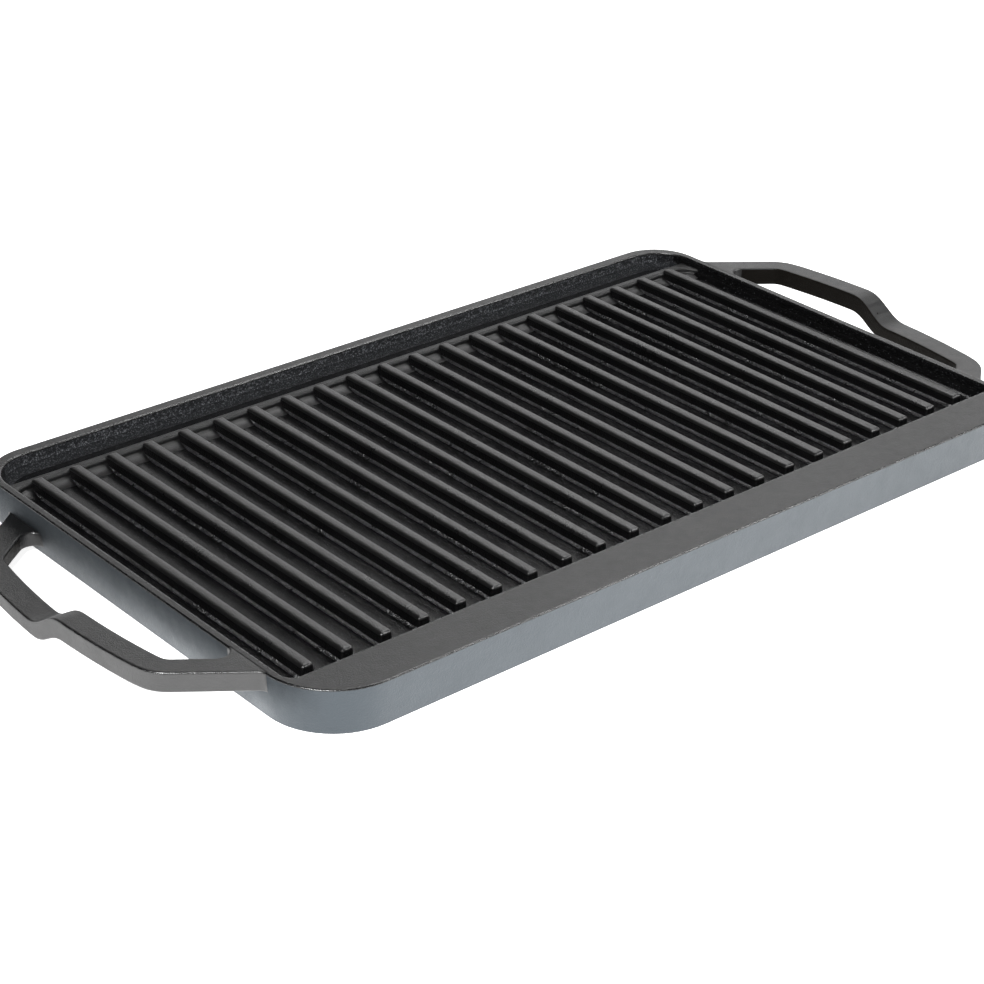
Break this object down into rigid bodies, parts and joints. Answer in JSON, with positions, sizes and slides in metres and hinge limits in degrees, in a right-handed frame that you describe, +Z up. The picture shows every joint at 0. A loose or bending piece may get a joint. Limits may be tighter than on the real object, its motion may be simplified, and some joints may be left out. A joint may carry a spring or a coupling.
{
  "type": "reversible griddle",
  "caption": "Cast-iron reversible griddle with a ribbed grill face, a flat griddle face and bowed loop handles at its ends.",
  "frame": {"origin": "centre of the footprint on the surface it rests on, grill face up", "axes": "+X along the long side, through both handles; +Y from the wide front bank to the grease gutter; +Z up, out of the grill face"},
  "size_m": [0.4952, 0.2506, 0.0205],
  "materials": {
    "iron_wall": "seasoned, satin black",
    "iron_face": "seasoned, satin black",
    "iron_rib": "seasoned, satin black",
    "iron_handle": "seasoned, satin black"
  },
  "bodies": {
    "root": {"cooking_plate": "iron_face", "far_wall": "iron_wall", "front_bank": "iron_wall", "grill_rib_01": "iron_rib", "grill_rib_02": "iron_rib", "grill_rib_03": "iron_rib", "grill_rib_04": "iron_rib", "grill_rib_05": "iron_rib", "grill_rib_06": "iron_rib", "grill_rib_07": "iron_rib", "grill_rib_08": "iron_rib", "grill_rib_09": "iron_rib", "grill_rib_10": "iron_rib", "grill_rib_11": "iron_rib", "grill_rib_12": "iron_rib", "grill_rib_13": "iron_rib", "grill_rib_14": "iron_rib", "grill_rib_15": "iron_rib", "grill_rib_16": "iron_rib", "grill_rib_17": "iron_rib", "grill_rib_18": "iron_rib", "grill_rib_19": "iron_rib", "grill_rib_20": "iron_rib", "grill_rib_21": "iron_rib", "left_handle": "iron_handle", "left_wall": "iron_wall", "rear_ledge": "iron_rib", "right_handle": "iron_handle", "right_wall": "iron_wall"}
  },
  "joints": []
}
